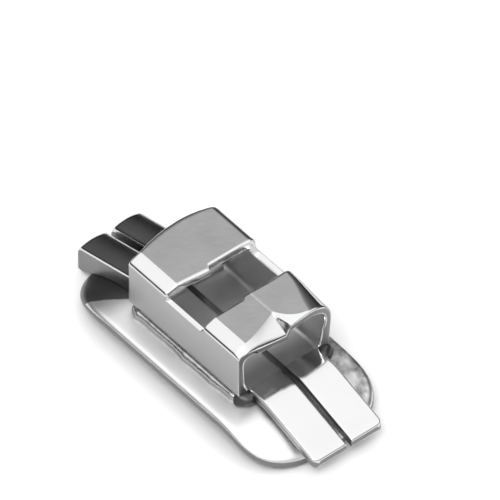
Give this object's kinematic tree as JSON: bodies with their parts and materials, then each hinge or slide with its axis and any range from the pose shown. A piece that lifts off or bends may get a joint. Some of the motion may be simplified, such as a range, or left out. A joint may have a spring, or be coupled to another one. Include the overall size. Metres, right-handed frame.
{
  "type": "lingual sheath",
  "caption": "Folded steel wire sheath on a contoured gauze-backed bonding pad, holding a doubled archwire end behind a tooth.",
  "frame": {"origin": "centre of the outline, on the plane that the pad's rim rests on", "axes": "+X along the wire slot from the rear ears to the front tongues, +Y across the sheath, +Z away from the tooth"},
  "size_m": [0.0072, 0.0032, 0.0021],
  "materials": {
    "sheath_steel": "bright polished stainless strip",
    "pad_steel": "bright stamped stainless foil",
    "gauze_steel": "woven stainless wire",
    "braze": "satin braze with a frozen surface"
  },
  "bodies": {
    "root": {"sheath": "sheath_steel", "bonding_pad": "pad_steel", "mesh_screen": "gauze_steel", "braze_bead_near": "braze", "braze_bead_far": "braze"}
  },
  "joints": []
}
